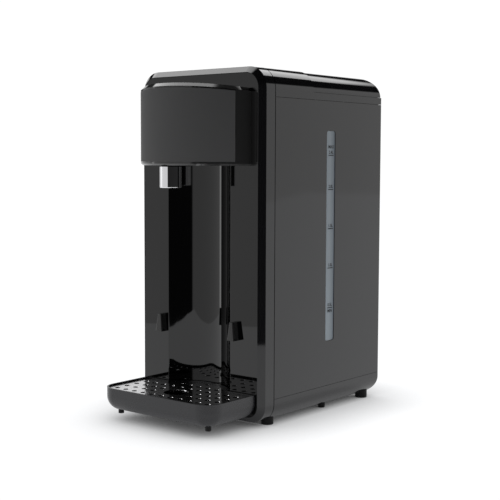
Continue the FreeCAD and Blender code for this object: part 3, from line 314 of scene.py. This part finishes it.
def finished_mesh(shape, name, turn):
    """Turns a bmesh into mesh data, moved into place."""
    mesh_data = bpy.data.meshes.new(name)
    shape.to_mesh(mesh_data)
    shape.free()
    mesh_data.transform(turn)
    return mesh_data


def bar_mesh(width, height, depth, turn):
    """A thin bar centred on the origin, with softened edges."""
    shape = bmesh.new()
    bmesh.ops.create_cube(shape, size=1.0)
    bmesh.ops.scale(shape, vec=(width, height, depth), verts=shape.verts)
    bmesh.ops.bevel(shape, geom=shape.edges[:], offset=depth * 0.3, segments=1, affect="EDGES")
    return finished_mesh(shape, "bar", turn)


def arc_mesh(radius, thick, start, stop, turn, steps=40):
    """A flat curved stroke between two angles in degrees; a full circle closes on itself."""
    shape = bmesh.new()
    full = stop - start >= 360
    rings = []
    for step in range(steps if full else steps + 1):
        angle = math.radians(start + (stop - start) * step / steps)
        ring = []
        for reach, rise in ((-0.5, 0), (0.5, 0), (0.5, 1), (-0.5, 1)):
            distance = radius + reach * thick
            corner = (distance * math.cos(angle), distance * math.sin(angle), rise * SYMBOL_DEPTH)
            ring.append(shape.verts.new(corner))
        rings.append(ring)
    pairs = list(zip(rings, rings[1:])) + ([(rings[-1], rings[0])] if full else [])
    for first, second in pairs:
        for corner in range(4):
            following = (corner + 1) % 4
            shape.faces.new((first[corner], first[following], second[following], second[corner]))
    if not full:
        shape.faces.new(rings[0][::-1])
        shape.faces.new(rings[-1])
    bmesh.ops.recalc_face_normals(shape, faces=shape.faces)
    return finished_mesh(shape, "arc", turn)


def frame_joint(name):
    """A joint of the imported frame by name."""
    return next(joint for joint in frame["joints"] if joint["name"] == name)


def add_level_scale():
    """Printed litre marks on the level strip, with MIN and MAX."""
    low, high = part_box("level_window")
    face = high.x + PRINT_LIFT
    middle = (low.y + high.y) / 2 + MARK_SHIFT

    def spot(z):
        return Matrix.Translation((face, middle, z)) @ READ_FROM_RIGHT

    def print_on_strip(mesh_data, name):
        place(mesh_data, name, "grey_print", "housing")

    for words, z in MARK_HEIGHTS.items():
        label = words.replace(".", "_")
        print_on_strip(bar_mesh(MARK_LENGTH, MARK_THICK, MARK_DEPTH, spot(z)), "mark_" + label)
        print_on_strip(text_mesh(words, spot(z + DIGIT_RISE)), "digits_" + label)
    print_on_strip(text_mesh("MIN", spot(MARK_HEIGHTS["0.5L"] - MIN_DROP)), "digits_MIN")
    print_on_strip(text_mesh("MAX", spot(MARK_HEIGHTS["2.4L"] + MAX_RISE)), "digits_MAX")


def print_on_button(mesh_data, name, button):
    """Adds a white symbol stroke that rides on a button."""
    place(mesh_data, name, "white_print", button)


def power_mark(spot):
    """A ring open at the top, with a stem in the gap."""
    ring = arc_mesh(POWER_RADIUS, STROKE, POWER_FROM, POWER_TO, spot)
    print_on_button(ring, "power_ring_mark", "power_button")
    stem_spot = spot @ Matrix.Translation((0, STEM_RISE, SYMBOL_DEPTH / 2))
    stem = bar_mesh(STROKE, STEM_LENGTH, SYMBOL_DEPTH, stem_spot)
    print_on_button(stem, "power_stem_mark", "power_button")


def drop_mark(spot):
    """A drop: a round below and two strokes that lean together above."""
    round_spot = spot @ Matrix.Translation((0, -DROP_SINK, 0))
    round_part = arc_mesh(DROP_RADIUS, STROKE, DROP_FROM, DROP_TO, round_spot)
    print_on_button(round_part, "drop_round_mark", "water_button")
    for side in (-1, 1):
        lean = Matrix.Rotation(side * SIDE_LEAN, 4, "Z")
        side_spot = spot @ (Matrix.Translation((side * SIDE_OUT, SIDE_RISE, SYMBOL_DEPTH / 2)) @ lean)
        side_part = bar_mesh(STROKE, SIDE_LENGTH, SYMBOL_DEPTH, side_spot)
        print_on_button(side_part, "drop_side_mark_%d" % (side + 2), "water_button")


def bubble_marks(spot):
    """Three bubbles of different size."""
    for index, (x, y, radius) in enumerate(BUBBLES):
        ring = arc_mesh(radius, FINE_STROKE, 0, 360, spot @ Matrix.Translation((x, y, 0)))
        print_on_button(ring, "bubble_mark_%d" % index, "fizz_button")


def add_button_marks():
    """Plain symbols on the sloping tops of the three buttons."""
    outward = -Vector(frame_joint("power_button_press")["axis"])
    slope = Matrix.Rotation(-math.atan2(outward.y, outward.z), 4, "X")

    def top_of(node):
        points = [vertex.co for vertex in NODES[node].data.vertices]
        reach = max(point.dot(outward) for point in points)
        face = [point for point in points if point.dot(outward) > reach - 0.00001]
        middle = [(min(values) + max(values)) / 2 for values in zip(*face)]
        return Matrix.Translation(middle) @ slope

    power_mark(top_of("power_button"))
    drop_mark(top_of("water_button"))
    bubble_marks(top_of("fizz_button"))


def add_rocker_marks():
    """A ring for off and a stroke for on, each on its half of the rocker."""
    pivot = Vector(frame_joint("rocker_tilt")["pos_m"])
    tilt = Matrix.Rotation(ROCKER_TILT, 4, "X")
    turned = Matrix.Translation(pivot) @ tilt @ Matrix.Translation(-pivot)
    face = pivot.y + ROCKER_FACE + PRINT_LIFT

    def spot(rise):
        return turned @ Matrix.Translation((pivot.x, face, pivot.z + rise)) @ READ_FROM_BACK

    ring = arc_mesh(OFF_RADIUS, FINE_STROKE, 0, 360, spot(-ROCKER_MARK_RISE))
    stroke = bar_mesh(STROKE, ON_LENGTH, SYMBOL_DEPTH, spot(ROCKER_MARK_RISE))
    for mark, name in ((ring, "off_mark"), (stroke, "on_mark")):
        place(mark, name, "white_print", "power_rocker")


# ---------------------------------------------------------------- studio
class WorldMaths:
    """Short names for maths nodes in the world's node tree."""

    def __init__(self, tree):
        self.tree = tree

    def of(self, operation, first, second=None):
        """The result of a maths node; each input is a number or a socket."""
        node = self.tree.nodes.new("ShaderNodeMath")
        node.operation = operation
        for index, value in enumerate((first, second)):
            if isinstance(value, (int, float)):
                node.inputs[index].default_value = value
            elif value is not None:
                self.tree.links.new(value, node.inputs[index])
        return node.outputs[0]

    def plus(self, first, second):
        return self.of("ADD", first, second)

    def minus(self, first, second):
        return self.of("SUBTRACT", first, second)

    def times(self, first, second):
        return self.of("MULTIPLY", first, second)

    def above(self, value, edge, softness):
        """0 below the edge, 1 above it, with a soft change between."""
        ranged = self.tree.nodes.new("ShaderNodeMapRange")
        ranged.interpolation_type = "SMOOTHSTEP"
        ranged.inputs["From Min"].default_value = edge - softness
        ranged.inputs["From Max"].default_value = edge + softness
        self.tree.links.new(value, ranged.inputs["Value"])
        return ranged.outputs["Result"]

    def below(self, value, edge, softness):
        """1 below the edge, 0 above it, with a soft change between."""
        return self.minus(1.0, self.above(value, edge, softness))


def room_brightness(maths, x, y, z):
    """Brightness of the room by direction: walls with an unlit side, a slim panel, a ceiling light."""
    bearing = maths.of("ARCTAN2", x, maths.times(y, -1.0))
    degrees = maths.times(bearing, 180 / math.pi)
    height = maths.times(maths.of("ARCSINE", z), 180 / math.pi)
    dark = maths.times(maths.above(degrees, DARK_FROM, DARK_SOFTNESS),
                       maths.below(degrees, DARK_TO, DARK_SOFTNESS))
    lit_side = maths.minus(1.0, maths.times(dark, DARK_DEPTH))
    wall_level = maths.minus(WALL_LEVEL, maths.times(maths.of("COSINE", bearing), WALL_FALL))
    below_top = maths.below(height, WALL_TOP, LEVEL_SOFTNESS)
    wall = maths.times(maths.times(wall_level, below_top), lit_side)
    from_strip = maths.of("ABSOLUTE", maths.minus(degrees, STRIP_BEARING))
    strip = maths.below(from_strip, STRIP_HALF, STRIP_SOFTNESS)
    wall = maths.plus(wall, maths.times(maths.times(strip, below_top), STRIP_GLOW))
    ceiling = maths.times(maths.above(height, CEILING_EDGE, LEVEL_SOFTNESS), CEILING_GLOW)
    sideways = maths.minus(x, maths.times(y, CEILING_LEAN))
    ceiling = maths.times(ceiling, maths.below(sideways, CEILING_SIDE, CEILING_SIDE_SOFTNESS))
    ceiling = maths.times(ceiling, maths.above(y, CEILING_FRONT, CEILING_FRONT_SOFTNESS))
    return maths.plus(maths.plus(wall, ceiling), ROOM_GLOW)


def add_world():
    """A studio room that lights the object, with plain white seen behind it."""
    world = bpy.data.worlds.new("studio")
    bpy.context.scene.world = world
    world.use_nodes = True
    tree = world.node_tree
    tree.nodes.clear()
    coordinates = tree.nodes.new("ShaderNodeTexCoord")
    split = tree.nodes.new("ShaderNodeSeparateXYZ")
    tree.links.new(coordinates.outputs["Generated"], split.inputs["Vector"])
    room = tree.nodes.new("ShaderNodeBackground")
    tree.links.new(room_brightness(WorldMaths(tree), *split.outputs), room.inputs["Strength"])
    white = tree.nodes.new("ShaderNodeBackground")
    white.inputs["Strength"].default_value = BACKDROP_GLOW
    path = tree.nodes.new("ShaderNodeLightPath")
    mix = tree.nodes.new("ShaderNodeMixShader")
    output = tree.nodes.new("ShaderNodeOutputWorld")
    tree.links.new(path.outputs["Is Camera Ray"], mix.inputs["Fac"])
    tree.links.new(room.outputs[0], mix.inputs[1])
    tree.links.new(white.outputs[0], mix.inputs[2])
    tree.links.new(mix.outputs[0], output.inputs["Surface"])
    world.cycles.sampling_method = "MANUAL"
    world.cycles.sample_map_resolution = 512


def floor_material():
    """Self-lit white table that glows evenly, with deep painted shade only where something stands close above it.
    """
    material, tree, shader = new_material("pale_floor")
    shade = tree.nodes.new("ShaderNodeAmbientOcclusion")
    shade.samples = FLOOR_PAINTED_SHADE_SAMPLES
    shade.inputs["Distance"].default_value = FLOOR_PAINTED_SHADE_REACH
    # Painted shade: the glow is scaled by ambient occlusion, from full where the floor is open to nearly none
    # where it is covered.
    level = spread(tree, shade.outputs["AO"], *FLOOR_LEVELS, 0.0, 1.0)
    shader.inputs["Base Color"].default_value = (0, 0, 0, 1)
    shader.inputs["Roughness"].default_value = 1.0
    shader.inputs["Specular IOR Level"].default_value = 0.0
    shader.inputs["Emission Color"].default_value = (0.985, 0.99, 1.0, 1)
    tree.links.new(level, shader.inputs["Emission Strength"])
    return material


def add_floor():
    """A pale table top that runs out behind the object."""
    shape = bmesh.new()
    shape.faces.new([shape.verts.new((x, y, 0)) for x, y in TABLE])
    floor = bpy.data.objects.new("floor", finished_mesh(shape, "floor", Matrix()))
    bpy.context.scene.collection.objects.link(floor)
    floor.data.materials.append(floor_material())


def add_camera():
    """A long lens at the right-hand front corner, a little above the middle of the body."""
    data = bpy.data.cameras.new("camera")
    data.lens = CAMERA_LENS
    data.sensor_width = CAMERA_SENSOR
    data.clip_start = CAMERA_NEAR
    camera = bpy.data.objects.new("camera", data)
    look = (CAMERA_TARGET - CAMERA_PLACE).to_track_quat("-Z", "Y").to_matrix().to_4x4()
    camera.matrix_world = Matrix.Translation(CAMERA_PLACE) @ look @ Matrix.Rotation(CAMERA_ROLL, 4, "Z")
    bpy.context.scene.collection.objects.link(camera)
    bpy.context.scene.camera = camera


bpy.context.scene.view_settings.view_transform = "Standard"
dress_nodes()
add_level_scale()
add_button_marks()
add_rocker_marks()
add_world()
add_floor()
add_camera()
